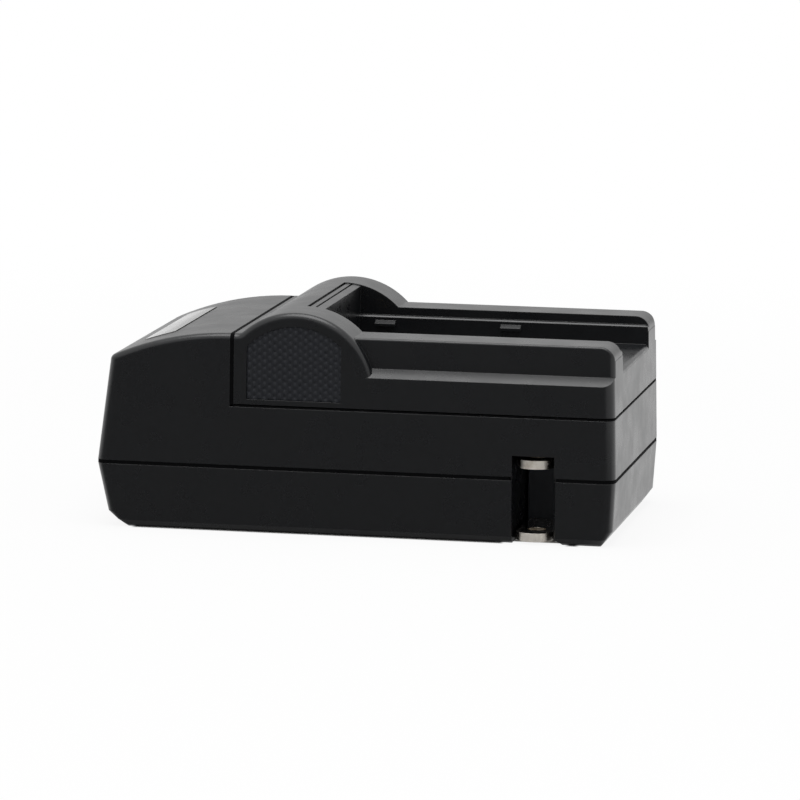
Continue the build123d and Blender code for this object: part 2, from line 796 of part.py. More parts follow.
save(from_nose(output_can_x, output_can_y, can(output_can_radius, output_can_height)), "output_capacitor")
save(from_nose(choke_x, choke_y, chip(choke_size, choke_size, choke_height)), "output_choke")
save(from_nose(safety_x, safety_y, chip(safety_length, safety_width, safety_height)), "safety_capacitor")
opto_x = core_x + core_width / 2 + part_gap + opto_length / 2
save(from_plug(opto_x, core_y, chip(opto_length, opto_width, opto_height)), "optocoupler")
rectifier_x = core_x - core_width / 2 - part_gap - rectifier_length / 2
rectifier = chip(rectifier_length, rectifier_width, rectifier_height)
save(from_plug(rectifier_x, core_y, rectifier), "bridge_rectifier")
save(from_plug(input_can_x, input_can_y, can(input_can_radius, input_can_height)), "input_capacitor")
save(from_plug(fuse_x, fuse_y, chip(fuse_length, fuse_width, fuse_height)), "mains_fuse")
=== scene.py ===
import json
import math

import bpy
import numpy as np
from mathutils import Matrix, Vector


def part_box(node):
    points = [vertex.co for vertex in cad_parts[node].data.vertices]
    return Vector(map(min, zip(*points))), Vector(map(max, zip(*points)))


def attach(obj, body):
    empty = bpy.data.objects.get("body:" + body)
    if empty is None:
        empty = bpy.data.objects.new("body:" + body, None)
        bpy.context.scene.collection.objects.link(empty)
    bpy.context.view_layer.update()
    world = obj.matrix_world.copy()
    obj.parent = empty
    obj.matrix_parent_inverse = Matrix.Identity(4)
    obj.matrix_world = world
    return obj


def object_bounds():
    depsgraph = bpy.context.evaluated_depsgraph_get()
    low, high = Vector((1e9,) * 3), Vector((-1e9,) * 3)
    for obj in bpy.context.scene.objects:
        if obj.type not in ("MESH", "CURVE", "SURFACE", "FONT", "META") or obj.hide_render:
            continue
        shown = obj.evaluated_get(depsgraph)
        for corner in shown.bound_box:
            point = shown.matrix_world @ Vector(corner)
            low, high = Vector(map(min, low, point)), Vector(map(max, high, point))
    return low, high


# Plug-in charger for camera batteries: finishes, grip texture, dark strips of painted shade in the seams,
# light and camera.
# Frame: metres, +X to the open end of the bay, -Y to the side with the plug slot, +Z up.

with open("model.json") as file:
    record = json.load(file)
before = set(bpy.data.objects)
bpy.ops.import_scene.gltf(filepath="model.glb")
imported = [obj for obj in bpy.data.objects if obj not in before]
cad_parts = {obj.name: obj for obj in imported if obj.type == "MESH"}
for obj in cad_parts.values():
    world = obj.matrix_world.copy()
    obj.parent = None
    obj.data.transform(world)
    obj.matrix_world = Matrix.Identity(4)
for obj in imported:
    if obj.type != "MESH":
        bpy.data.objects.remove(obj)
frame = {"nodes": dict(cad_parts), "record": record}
cad_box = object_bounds()
nodes = frame["nodes"]
MM = 0.001
QUARTER = math.pi / 2
WHITE = (1.0, 1.0, 1.0)         # colours are linear red, green and blue
BLACK = (0.0, 0.0, 0.0)

# Camera, from the vanishing lines of the photographed body
AZIMUTH = math.radians(10.355)
ELEVATION = math.radians(8.380)
ROLL = math.radians(0.821)
DISTANCE = 1070.344 * MM
TARGET = Vector((0.25 * MM, 0.0, 18.0 * MM))
PICTURE = 800.0                 # side of the square picture, in pixels
FOCAL = 6024.751                # focal length, in pixels
CENTRE = (383.746, 412.627)     # where the camera's axis meets the picture, in pixels
SENSOR = 36.0                   # camera's sensor, in millimetres
CLIP_START = 0.01               # nearest and furthest that it shows
CLIP_END = 100.0

# Finger grip on the cheeks of the battery plate
ARCH_RADIUS = 13.95 * MM
ARCH_MIDDLE = -10.474 * MM      # middle of the arch, along the body
GRIP_START = -19.05 * MM        # ends of the sunk field, along the body
GRIP_END = -2.35 * MM
GRIP_LOW = 23.5 * MM            # lower edge of the field
GRIP_MARGIN = 2.4 * MM          # field below the arch
GRIP_SINK = 0.35 * MM           # depth of the field
GRIP_ROOT = 0.05 * MM           # grip below the floor of the field
GRIP_SKIN = 0.16 * MM           # grip above that floor, between the studs
GRIP_HEM = 0.01 * MM            # width of the turned-down border
STUD_RISE = 0.18 * MM           # studs above the skin
STUD_PITCH = 0.9 * MM           # between columns of studs
STUD_STEP = 1.3 * MM            # between studs in a column
STUD_WIDTH = 0.31               # half a stud's width and height, as shares of pitch and step
STUD_HEIGHT = 0.47
STUD_DIVISIONS = 9              # grid lines to a stud, each way

# Dark strips in the seams of the body: painted shade, dull near-black strips that fill the open grooves and
# gaps nearly flush, standing in for the shadow deep in them
HALF_LENGTH = 45.75 * MM        # body at the joint between the shells
HALF_WIDTH = 27.6 * MM
CORNER = 2.2 * MM               # radius of its upright corners
CORNER_POINTS = 7               # points of a strip round a corner
JOINT_LOW = 11.175 * MM         # groove between the shells
JOINT_HIGH = 11.825 * MM
JOINT_DEPTH = 0.85 * MM
DECK = 22.1 * MM                # deck under the battery plate, its open end, and the gap over it
DECK_END = 45.46 * MM
DECK_GAP = 0.32 * MM
DECK_DEPTH = 1.05 * MM
NOSE_FACE = -22.0 * MM          # face of the nose at the plate, its top, and the gap beside it
NOSE_TOP = 34.9 * MM
NOSE_EDGE = 1.2 * MM            # radius of the edges of its top
NOSE_GAP = 0.62 * MM
NOSE_DEPTH = 1.0 * MM
SLOT_START = 27.5 * MM          # plug slot, where the strip is left out
SLOT_END = 35.6 * MM
STRIP_INSET = 0.02 * MM         # strips behind the outside of the body
STRIP_BITE = 0.03 * MM          # strips into the shells
LYING = [0, 1, 2]               # order of axes that leaves a strip level, and the one that stands it up
STANDING = [2, 0, 1]

# Cut tips of the blades, which are dull
TIP_START = -24.0 * MM          # dull from nothing to all between these, across the body
TIP_END = -25.0 * MM
TIP_TURNED = 0.55               # and from nothing to all as the surface turns to face across the body
TIP_FACING = 0.85
TIP_METAL = 0.65                # metal share of the tip
TIP_ROUGHNESS = 0.28            # added to the roughness there

# Floor
FLOOR_HALF = 10.0               # from its middle to each edge
FLOOR_LEVEL = -0.02 * MM
FLOOR_COLOUR = (0.85, 0.85, 0.85)
FLOOR_WHITE = 0.90              # share that shows plain white near the object; the rest keeps a faint shadow
FLOOR_NEAR = 120.0 * MM         # the share grows to all of it between these distances
FLOOR_FAR = 400.0 * MM
FLOOR_END = 6.0 * MM            # edge of the shaded patch under the object, in from its ends and sides
FLOOR_SIDE = 0.4 * MM
FLOOR_FADE = 1.0 * MM
MOUTH_MIDDLE = 31.8 * MM        # mouth of the plug slot in that patch: middle and half width along the body
MOUTH_HALF = 5.2 * MM
MOUTH_INNER = -24.5 * MM        # and its inner end, across the body

# Light
AMBIENT = 0.5                   # light from the surroundings
HORIZON = 0.58                  # brightness of the surroundings at the horizon, as mirrored
SKY_LOW = 0.05                  # they brighten between these heights, with 1 straight up
SKY_HIGH = 0.5
LAMP_SIZE = 1.0
LAMP_POWER = 10.0
LAMP_PLACE = (0.0, -0.2, 1.2)

# Dark card in front
CARD_RIGHT = 158.0 * MM         # its ends, along the body
CARD_LEFT = -600.0 * MM
CARD_NEAR = -22.0 * MM          # its near edge and the start of its bend, across the body
CARD_FAR = -150.0 * MM
CARD_BEND = 40.0 * MM           # radius of the bend
CARD_POINTS = 9                 # points round the bend
CARD_HEIGHT = 110.0 * MM
CARD_LIFT = 0.3 * MM            # card above the base of the object
CARD_GREY = 0.19                # brightness of the card
CARD_SOFT = 7.0 * MM            # width of its soft near edge, past the object's ends


class Tree:
    """Short way to build a shader node tree: most calls return the socket that the next one takes."""

    def __init__(self, tree):
        self.tree = tree

    def add(self, kind, settings=None, **values):
        """Add a node, set its properties, and set or link its inputs by name."""
        node = self.tree.nodes.new(kind)
        for name, value in (settings or {}).items():
            setattr(node, name, value)
        for name, value in values.items():
            self.feed(node.inputs[name.replace("_", " ")], value)
        return node

    def feed(self, socket, value):
        """Link a socket to an input, or set the input to a value."""
        if isinstance(value, bpy.types.NodeSocket):
            self.tree.links.new(value, socket)
        elif socket.type == "RGBA":
            socket.default_value = (*value, 1.0)
        else:
            socket.default_value = value

    def calc(self, operation, first, second=0.0, clamp=False):
        """One step of arithmetic on two values."""
        node = self.add("ShaderNodeMath", {"operation": operation, "use_clamp": clamp})
        self.feed(node.inputs[0], first)
        self.feed(node.inputs[1], second)
        return node.outputs[0]

    def blend(self, share, first, second):
        """Mix two colours."""
        node = self.add("ShaderNodeMix", {"data_type": "RGBA"})
        self.feed(node.inputs[0], share)
        self.feed(node.inputs[6], first)
        self.feed(node.inputs[7], second)
        return node.outputs[2]

    def span(self, value, low, high, start=0.0, end=1.0):
        """Carry a value smoothly from the range low to high to the range start to end."""
        node = self.add("ShaderNodeMapRange", {"interpolation_type": "SMOOTHSTEP"})
        for socket, number in zip(node.inputs, (value, low, high, start, end)):
            self.feed(socket, number)
        return node.outputs[0]

    def stretch(self, place, factors):
        """Scale a place along each axis, so that a pattern comes out at its real size."""
        node = self.add("ShaderNodeVectorMath", {"operation": "MULTIPLY"})
        self.feed(node.inputs[0], place)
        self.feed(node.inputs[1], factors)
        return node.outputs[0]

    def noise(self, place, size, detail=2.0, roughness=0.5):
        """Soft random value with grains of a size in metres."""
        node = self.add("ShaderNodeTexNoise", None, Vector=place, Scale=1.0 / size, Detail=detail,
                        Roughness=roughness)
        return node.outputs["Fac"]

    def axes(self, place):
        """The three values of a place."""
        return self.add("ShaderNodeSeparateXYZ", None, Vector=place).outputs


def new_group(name, inputs, outputs):
    """Empty shader node group with named sockets, and its tree, inputs and output node."""
    group = bpy.data.node_groups.new(name, "ShaderNodeTree")
    for label, kind, value in inputs:
        socket = group.interface.new_socket(label, in_out="INPUT", socket_type=kind)
        if value is not None:
            socket.default_value = value
    for label, kind in outputs:
        group.interface.new_socket(label, in_out="OUTPUT", socket_type=kind)
    tree = Tree(group)
    return group, tree, tree.add("NodeGroupInput").outputs, tree.add("NodeGroupOutput").inputs


def make_grain():
    """Moulded grain: fine pits for the height, and broad soft patches for polish and shade."""
    group, tree, given, out = new_group(
        "moulded_grain",
        [("Place", "NodeSocketVector", None), ("Fineness", "NodeSocketFloat", 1.0)],
        [("Height", "NodeSocketFloat"), ("Polish", "NodeSocketFloat"), ("Shade", "NodeSocketFloat")])
    scaled = tree.add("ShaderNodeVectorMath", {"operation": "SCALE"}, Vector=given["Place"],
                      Scale=given["Fineness"])
    place = scaled.outputs[0]
    pits = tree.noise(place, size=0.16 * MM, detail=2.0)
    tree.feed(out["Height"], pits)
    patches = tree.noise(place, size=7.0 * MM, detail=4.0, roughness=0.6)
    tree.feed(out["Polish"], tree.span(patches, low=0.3, high=0.7, start=-1.0, end=1.0))
    mottle = tree.noise(place, size=1.3 * MM, detail=3.0)
    tree.feed(out["Shade"], tree.span(mottle, low=0.25, high=0.75, start=0.9, end=1.1))
    return group


def make_edge_wear():
    """Soft and worn edges: the rounded normal leaves the true one at an edge, and rubbing breaks that up."""
    group, tree, given, out = new_group(
        "edge_wear",
        [("Place", "NodeSocketVector", None), ("Radius", "NodeSocketFloat", 0.2 * MM)],
        [("Wear", "NodeSocketFloat"), ("Normal", "NodeSocketVector")])
    soft = tree.add("ShaderNodeBevel", {"samples": 6}, Radius=given["Radius"])
    flat = tree.add("ShaderNodeNewGeometry")
    likeness = tree.add("ShaderNodeVectorMath", {"operation": "DOT_PRODUCT"})
    tree.feed(likeness.inputs[0], soft.outputs["Normal"])
    tree.feed(likeness.inputs[1], flat.outputs["Normal"])
    edge = tree.span(likeness.outputs["Value"], low=0.99, high=0.8)
    rubbing = tree.noise(given["Place"], size=2.2 * MM, detail=4.0, roughness=0.65)
    rubbed = tree.span(rubbing, low=0.45, high=0.7)
    tree.feed(out["Wear"], tree.calc("MULTIPLY", edge, rubbed))
    tree.feed(out["Normal"], soft.outputs["Normal"])
    return group


def make_brushing():
    """Drawn metal: noise stretched along one axis for the height and polish, and soft stains."""
    group, tree, given, out = new_group(
        "brushing",
        [("Place", "NodeSocketVector", None), ("Stretch", "NodeSocketVector", (1.0, 0.05, 1.0))],
        [("Height", "NodeSocketFloat"), ("Polish", "NodeSocketFloat"), ("Stain", "NodeSocketFloat")])
    along = tree.stretch(given["Place"], given["Stretch"])
    lines = tree.noise(along, size=0.09 * MM, detail=3.0, roughness=0.6)
    tree.feed(out["Height"], lines)
    bands = tree.noise(along, size=0.35 * MM, detail=3.0)
    tree.feed(out["Polish"], tree.span(bands, low=0.3, high=0.7, start=-1.0, end=1.0))
    stains = tree.noise(given["Place"], size=2.5 * MM, detail=4.0, roughness=0.6)
    tree.feed(out["Stain"], tree.span(stains, low=0.5, high=0.75))
    return group


GRAIN = make_grain()
WEAR = make_edge_wear()
BRUSHING = make_brushing()


class Finish(Tree):
    """A material: its shader, its place on the piece, and the detail that all finishes share."""

    def __init__(self, name, **constants):
        self.name = name
        self.material = bpy.data.materials.new(name)
        self.material.use_nodes = True
        super().__init__(self.material.node_tree)
        self.shader = self.tree.nodes["Principled BSDF"]
        for label, value in constants.items():
            self.feed(self.shader.inputs[label.replace("_", " ")], value)
        found = self.add("ShaderNodeTexCoord").outputs
        self.place = found["Object"]
        self.facing = found["Normal"]

    def detail(self, group, **values):
        """Place a shared effect."""
        node = self.add("ShaderNodeGroup", {"node_tree": group}, **values)
        self.feed(node.inputs["Place"], self.place)
        return node.outputs

    def colour(self, value):
        """Colour of the surface."""
        self.feed(self.shader.inputs["Base Color"], value)

    def roughness(self, middle, swing, polish):
        """Roughness that swings round a middle value."""
        swung = self.calc("MULTIPLY", polish, swing)
        self.feed(self.shader.inputs["Roughness"], self.calc("ADD", swung, middle, clamp=True))

    def relief(self, height, depth, normal=None):
        """Fine relief of a depth in metres."""
        bump = self.add("ShaderNodeBump", None, Height=height, Distance=depth, Strength=1.0)
        if normal is not None:
            self.feed(bump.inputs["Normal"], normal)
        self.feed(self.shader.inputs["Normal"], bump.outputs[0])


def moulded(name, colour, worn, roughness, depth, **constants):
    """Moulded plastic with a fine grain, patchy polish and lightly rubbed edges."""
    finish = Finish(name, **constants)
    grain = finish.detail(GRAIN, Fineness=1.0)
    wear = finish.detail(WEAR, Radius=0.15 * MM)
    shaded = finish.blend(grain["Shade"], BLACK, colour)
    finish.colour(finish.blend(wear["Wear"], shaded, worn))
    finish.roughness(roughness, swing=0.035, polish=grain["Polish"])
    finish.relief(grain["Height"], depth, wear["Normal"])
    return finish


def drawn_metal(name, colour, stain, roughness, stretch):
    """Plated or bare metal with drawing lines, patchy polish and stains."""
    finish = Finish(name, Metallic=1.0)
    lines = finish.detail(BRUSHING, Stretch=stretch)
    wear = finish.detail(WEAR, Radius=0.1 * MM)
    finish.colour(finish.blend(lines["Stain"], colour, stain))
    finish.roughness(roughness, swing=0.08, polish=lines["Polish"])
    finish.relief(lines["Height"], depth=0.002 * MM, normal=wear["Normal"])
    return finish


def make_nickel():
    """Nickel on the blades: polished on the rolled faces and long edges, and dull on the cut tip."""
    finish = drawn_metal("nickel", colour=(0.92, 0.87, 0.79), stain=(0.72, 0.65, 0.56), roughness=0.2,
                         stretch=(1.0, 0.05, 0.6))
    metallic = finish.shader.inputs["Metallic"]
    roughness = finish.shader.inputs["Roughness"]
    end = finish.span(finish.axes(finish.place)["Y"], TIP_START, TIP_END)
    turned = finish.calc("ABSOLUTE", finish.axes(finish.facing)["Y"])
    tip = finish.calc("MULTIPLY", end, finish.span(turned, TIP_TURNED, TIP_FACING))
    finish.feed(metallic, finish.span(tip, low=0.0, high=1.0, start=1.0, end=TIP_METAL))
    polish = roughness.links[0].from_socket
    finish.feed(roughness, finish.calc("ADD", polish, finish.calc("MULTIPLY", tip, TIP_ROUGHNESS)))
    return finish


def make_window():
    """Smoky window: gloss over a cloudy body, with faint flow lines of the moulding across it."""
    smoke = (0.175, 0.174, 0.172)
    haze = (0.215, 0.212, 0.208)
    finish = Finish("window", Coat_Weight=0.3, Coat_Roughness=0.05)
    grain = finish.detail(GRAIN, Fineness=0.5)
    across = finish.stretch(finish.place, (1.0, 0.15, 1.0))
    flow = finish.noise(across, size=3.0 * MM, detail=3.0)
    finish.colour(finish.blend(finish.span(flow, low=0.3, high=0.7), smoke, haze))
    finish.roughness(0.16, swing=0.03, polish=grain["Polish"])
    finish.relief(grain["Height"], depth=0.0008 * MM)
    return finish


def make_board():
    """Solder mask over tracks: bricks of random shade give the tracks, and dots the plated holes."""
    solder = (0.62, 0.60, 0.55)
    finish = Finish("board", Coat_Weight=0.4, Coat_Roughness=0.15)
    grain = finish.detail(GRAIN, Fineness=1.0)
    tracks = finish.add(
        "ShaderNodeTexBrick", {"offset": 0.37, "squash": 1.6}, Vector=finish.place, Scale=1.0,
        Mortar_Size=0.22 * MM, Brick_Width=7.0 * MM, Row_Height=1.9 * MM,
        Color1=(0.012, 0.085, 0.035), Color2=(0.018, 0.13, 0.05), Mortar=(0.006, 0.04, 0.018))
    level = finish.stretch(finish.place, (1.0, 1.0, 0.0))
    cells = finish.add("ShaderNodeTexVoronoi", None, Vector=level, Scale=1.0 / (3.4 * MM))
    pads = finish.span(cells.outputs["Distance"], low=0.16, high=0.12)
    finish.colour(finish.blend(pads, tracks.outputs["Color"], solder))
    finish.roughness(0.4, swing=0.05, polish=grain["Polish"])
    finish.relief(tracks.outputs["Fac"], depth=0.02 * MM)
    return finish


def make_tape():
    """Yellow film tape: overlapping turns show as lines round the winding."""
    film = (0.62, 0.44, 0.05)
    doubled = (0.33, 0.21, 0.02)
    finish = Finish("tape", Coat_Weight=0.6, Coat_Roughness=0.1)
    grain = finish.detail(GRAIN, Fineness=0.6)
    height = finish.axes(finish.place)["Z"]
    turn = finish.calc("FRACT", finish.calc("DIVIDE", height, 1.1 * MM))
    lap = finish.span(turn, low=0.9, high=1.0)
    finish.colour(finish.blend(lap, film, doubled))
    finish.roughness(0.3, swing=0.06, polish=grain["Polish"])
    finish.relief(turn, depth=0.03 * MM)
    return finish


def make_sleeve():
    """Shrink sleeve on a can: a pale stripe down one side, and bare metal on the flat top."""
    film = (0.012, 0.02, 0.06)
    pale = (0.45, 0.46, 0.48)
    bare = (0.6, 0.6, 0.61)
    finish = Finish("capacitor_sleeve", Coat_Weight=0.3, Coat_Roughness=0.2)
    grain = finish.detail(GRAIN, Fineness=0.8)
    facing = finish.axes(finish.facing)
    stripe = finish.span(facing["X"], low=0.86, high=0.88)
    top = finish.span(facing["Z"], low=0.8, high=0.9)
    finish.colour(finish.blend(top, finish.blend(stripe, film, pale), bare))
    finish.feed(finish.shader.inputs["Metallic"], top)
    finish.roughness(0.33, swing=0.06, polish=grain["Polish"])
    finish.relief(grain["Height"], depth=0.003 * MM)
    return finish


def make_lamp_lens():
    """Milky lamp: cloudy body, faintly warm in soft random patches."""
    warm = (0.6, 0.55, 0.4)
    milk = (0.82, 0.81, 0.76)
    finish = Finish("led", Subsurface_Weight=0.3, Subsurface_Scale=1.0 * MM, Coat_Weight=0.5)
    grain = finish.detail(GRAIN, Fineness=0.7)
    finish.colour(finish.blend(grain["Shade"], warm, milk))
    finish.roughness(0.25, swing=0.05, polish=grain["Polish"])
    finish.relief(grain["Height"], depth=0.002 * MM)
    return finish


def make_ferrite():
    """Pressed ferrite: dark grey with bright specks and a dry, pitted skin."""
    dark = (0.035, 0.035, 0.037)
    bright = (0.12, 0.12, 0.125)
    worn = (0.2, 0.2, 0.2)
    finish = Finish("ferrite")
    grain = finish.detail(GRAIN, Fineness=1.0)
    specks = finish.span(finish.noise(finish.place, size=0.22 * MM, detail=1.0), low=0.62, high=0.72)
    wear = finish.detail(WEAR, Radius=0.3 * MM)
    finish.colour(finish.blend(wear["Wear"], finish.blend(specks, dark, bright), worn))
    finish.roughness(0.62, swing=0.08, polish=grain["Polish"])
    finish.relief(grain["Height"], depth=0.02 * MM, normal=wear["Normal"])
    return finish


def make_finishes():
    """One finish for each material slot of the record, by name, and two for the pieces that are made here."""
    finishes = [
        moulded("black_plastic", colour=(0.0066, 0.0072, 0.0085), worn=(0.03, 0.03, 0.032), roughness=0.29,
                depth=0.0005 * MM),
        moulded("plug_plastic", colour=(0.032, 0.038, 0.052), worn=(0.04, 0.04, 0.046), roughness=0.5,
                depth=0.003 * MM),
        moulded("component_black", colour=(0.014, 0.014, 0.015), worn=(0.05, 0.05, 0.05), roughness=0.55,
                depth=0.006 * MM),
        moulded("ceramic", colour=(0.02, 0.09, 0.3), worn=(0.1, 0.2, 0.42), roughness=0.3,
                depth=0.003 * MM, Coat_Weight=0.3),
        make_nickel(),
        drawn_metal("contact_metal", colour=(0.83, 0.64, 0.33), stain=(0.6, 0.42, 0.2), roughness=0.3,
                    stretch=(0.06, 1.0, 0.06)),
        drawn_metal("screw_steel", colour=(0.55, 0.55, 0.57), stain=(0.32, 0.31, 0.3), roughness=0.38,
                    stretch=(1.0, 0.12, 0.3)),
        make_window(),
        make_board(),
        make_tape(),
        make_sleeve(),
        make_lamp_lens(),
        make_ferrite(),
        moulded("grip", colour=(0.0078, 0.0094, 0.0142), worn=(0.016, 0.018, 0.024), roughness=0.6,
                depth=0.002 * MM),
        # painted shade: near-black, dull and barely reflecting, for the strips that stand in for the shadow
        # in the grooves and gaps
        moulded("joint", colour=(0.0022, 0.0023, 0.0026), worn=(0.004, 0.004, 0.004), roughness=0.8,
                depth=0.002 * MM, Specular_IOR_Level=0.05),
    ]
    return {finish.name: finish.material for finish in finishes}


def dress(materials):
    """Give every CAD node the finish of its slot in the record."""
    for part in frame["record"]["subparts"]:
        mesh = nodes[part["node"]].data
        mesh.materials.clear()
        mesh.materials.append(materials[part["material_slot"]])


def add_piece(name, points, faces, material, smooth=False):
    """Put an array of points and an array of faces, all with as many corners, into a new mesh object."""
    mesh = bpy.data.meshes.new(name)
    corners = faces.shape[1]
    mesh.vertices.add(len(points))
    mesh.vertices.foreach_set("co", points.astype(np.float32).ravel())
    mesh.loops.add(faces.size)
    mesh.loops.foreach_set("vertex_index", faces.astype(np.int32).ravel())
    mesh.polygons.add(len(faces))
    mesh.polygons.foreach_set("loop_start", np.arange(0, faces.size, corners, dtype=np.int32))
    mesh.polygons.foreach_set("use_smooth", np.full(len(faces), smooth))
    mesh.update(calc_edges=True)
    mesh.materials.append(material)
    piece = bpy.data.objects.new(name, mesh)
    bpy.context.scene.collection.objects.link(piece)
    return piece


def grid_faces(rows, columns):
    """Faces of a grid of points that is stored row by row."""
    start = (np.arange(rows - 1)[:, None] * columns + np.arange(columns - 1)).ravel()
    return np.stack([start, start + 1, start + columns + 1, start + columns], axis=1)


def make_grip(name, side, material):
    """Finger grip on one cheek: a thin moulded skin with low oval studs, on a grid of columns and rows.

    Columns run from end to end of the sunk field, and rows from its lower edge to the arc below the arch.
    With a and b the distances from the nearest stud as shares of its half width and half height, the
    surface lies at skin + rise * sqrt(1 - a * a - b * b), or at the skin outside the stud. Every other
    column of studs is half a step higher. The border of the grid turns down into the field, and a flat
    back closes the piece.
    """
    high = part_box("battery_plate")[1]
    arch_z = high[2] - ARCH_RADIUS
    field = high[2] - GRIP_MARGIN - GRIP_LOW
    columns = int((GRIP_END - GRIP_START) / STUD_PITCH * STUD_DIVISIONS)
    rows = int(field / STUD_STEP * STUD_DIVISIONS)
    x = np.linspace(GRIP_START + GRIP_HEM, GRIP_END - GRIP_HEM, columns - 2)
    x = np.concatenate([[GRIP_START], x, [GRIP_END]])
    top = arch_z + np.sqrt((ARCH_RADIUS - GRIP_MARGIN) ** 2 - (x - ARCH_MIDDLE) ** 2)
    hem = GRIP_HEM / field
    share = np.concatenate([[0.0], np.linspace(hem, 1.0 - hem, rows - 2), [1.0]])[:, None]
    z = GRIP_LOW + share * (top - GRIP_LOW)
    x = np.broadcast_to(x, z.shape)

    column = (x - ARCH_MIDDLE) / STUD_PITCH
    nearest = np.round(column)
    row = (z - GRIP_LOW) / STUD_STEP - 0.5 * (nearest % 2)
    a = (column - nearest) / STUD_WIDTH
    b = (row - np.round(row)) / STUD_HEIGHT
    height = GRIP_SKIN + STUD_RISE * np.sqrt(np.maximum(1.0 - a * a - b * b, 0.0))

    border = np.ones(z.shape, bool)
    border[1:-1, 1:-1] = False
    height[border] = -GRIP_ROOT
    floor_y = high[1] - GRIP_SINK
    front = np.stack([x, side * (floor_y + height), z], axis=2)
    back = np.stack([x, np.full(z.shape, side * (floor_y - GRIP_ROOT)), z], axis=2)
    points = np.concatenate([front.reshape(-1, 3), back[~border]])
    outer = np.arange(z.size)
    inner = outer.copy()
    inner[~border.ravel()] = z.size + np.arange(np.count_nonzero(~border))
    quads = grid_faces(rows, columns)
    faces = np.concatenate([outer[quads], inner[quads][:, ::-1]])
    grip = add_piece(name, points, faces if side < 0 else faces[:, ::-1], material, smooth=True)
    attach(grip, "plate")


def make_shade_strip(name, ends, corners, radius, depth, levels, order, material):
    """Dark strip of painted shade in a seam, standing in for the shadow deep in it: an open band round
    rounded corners, as a grid of four lines of points.

    Each line starts at the first end, follows a quarter circle round every corner, at the angle t in steps
    from the corner's first angle, centre + (radius - inset) * (cos(t), sin(t)), and stops at the second end.
    Two lines lie at the outer inset and two at the inner one, at both levels along the third axis. The order
    of axes says which way the strip stands.
    """
    low, high = levels
    centres = np.array([corner[:2] for corner in corners])
    first = np.radians(np.array([corner[2] for corner in corners]))
    angle = first[:, None] + np.linspace(0.0, QUARTER, CORNER_POINTS)
    circle = np.stack([np.cos(angle), np.sin(angle)], axis=2)
    lines = []
    for inset, level in ((STRIP_INSET, low), (STRIP_INSET, high), (depth, high), (depth, low)):
        arcs = (centres[:, None, :] + (radius - inset) * circle).reshape(-1, 2)
        start, stop = (np.array(end[:2]) - inset * np.array(end[2:]) for end in ends)
        line = np.concatenate([[start], arcs, [stop]])
        lines.append(np.column_stack([line, np.full(len(line), level)]))
    count = len(lines[0])
    index = np.arange(4 * count).reshape(4, count)
    after = np.roll(index, -1, axis=0)
    walls = np.stack([index[:, :-1], index[:, 1:], after[:, 1:], after[:, :-1]], axis=2).reshape(-1, 4)
    faces = np.concatenate([walls, [index[:, 0]], [index[::-1, -1]]])
    strip = add_piece(name, np.concatenate(lines)[:, order], faces, material)
    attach(strip, "case")


def make_shade_strips(material):
    """Strips of painted shade in the groove between the shells, in the gap over the deck and in the gap
    beside the nose.

    An end is a point and the direction outwards there; a corner is a centre and its first angle in degrees.
    """
    x = HALF_LENGTH - CORNER
    y = HALF_WIDTH - CORNER
    ends = [(SLOT_END, -HALF_WIDTH, 0, -1), (SLOT_START, -HALF_WIDTH, 0, -1)]
    corners = [(x, -y, -90), (x, y, 0), (-x, y, 90), (-x, -y, 180)]
    levels = (JOINT_LOW - STRIP_BITE, JOINT_HIGH + STRIP_BITE)
    make_shade_strip("groove_painted_shade", ends, corners, CORNER, JOINT_DEPTH, levels, LYING, material)

    x = DECK_END - CORNER
    ends = [(NOSE_FACE, -HALF_WIDTH, 0, -1), (NOSE_FACE, HALF_WIDTH, 0, 1)]
    corners = [(x, -y, -90), (x, y, 0)]
    levels = (DECK - STRIP_BITE, DECK + DECK_GAP)
    make_shade_strip("deck_painted_shade", ends, corners, CORNER, DECK_DEPTH, levels, LYING, material)

    y = HALF_WIDTH - NOSE_EDGE
    z = NOSE_TOP - NOSE_EDGE
    ends = [(HALF_WIDTH, DECK, 1, 0), (-HALF_WIDTH, DECK, -1, 0)]
    corners = [(y, z, 0), (-y, z, 90)]
    levels = (NOSE_FACE - STRIP_BITE, NOSE_FACE + NOSE_GAP)
    make_shade_strip("nose_painted_shade", ends, corners, NOSE_EDGE, NOSE_DEPTH, levels, STANDING, material)


def make_camera():
    """Pinhole camera at an azimuth and elevation round a target, rolled about its own axis."""
    level = math.cos(ELEVATION)
    back = Vector((math.sin(AZIMUTH) * level, -math.cos(AZIMUTH) * level, math.sin(ELEVATION)))
    right = Vector((0, 0, 1)).cross(back).normalized()
    up = back.cross(right)
    rolled_right = right * math.cos(ROLL) + up * math.sin(ROLL)
    rolled_up = up * math.cos(ROLL) - right * math.sin(ROLL)
    data = bpy.data.cameras.new("photo_camera")
    data.sensor_width = SENSOR
    data.lens = FOCAL * SENSOR / PICTURE
    data.shift_x = (PICTURE / 2 - CENTRE[0]) / PICTURE
    data.shift_y = (CENTRE[1] - PICTURE / 2) / PICTURE
    data.clip_start = CLIP_START
    data.clip_end = CLIP_END
    camera = bpy.data.objects.new("photo_camera", data)
    turn = Matrix((rolled_right, rolled_up, back)).transposed().to_4x4()
    camera.matrix_world = Matrix.Translation(TARGET + back * DISTANCE) @ turn
    bpy.context.scene.collection.objects.link(camera)
    bpy.context.scene.camera = camera


def bare_tree(owner):
    """Empty node tree of a material or of the surroundings."""
    owner.use_nodes = True
    owner.node_tree.nodes.clear()
    return Tree(owner.node_tree)


def ray_masks(tree):
    """Two masks: 1 for rays that show a thing itself, and 1 for those that show its mirror image."""
    path = tree.add("ShaderNodeLightPath").outputs
    return path["Is Camera Ray"], tree.calc("MAXIMUM", path["Is Glossy Ray"], path["Is Transmission Ray"])


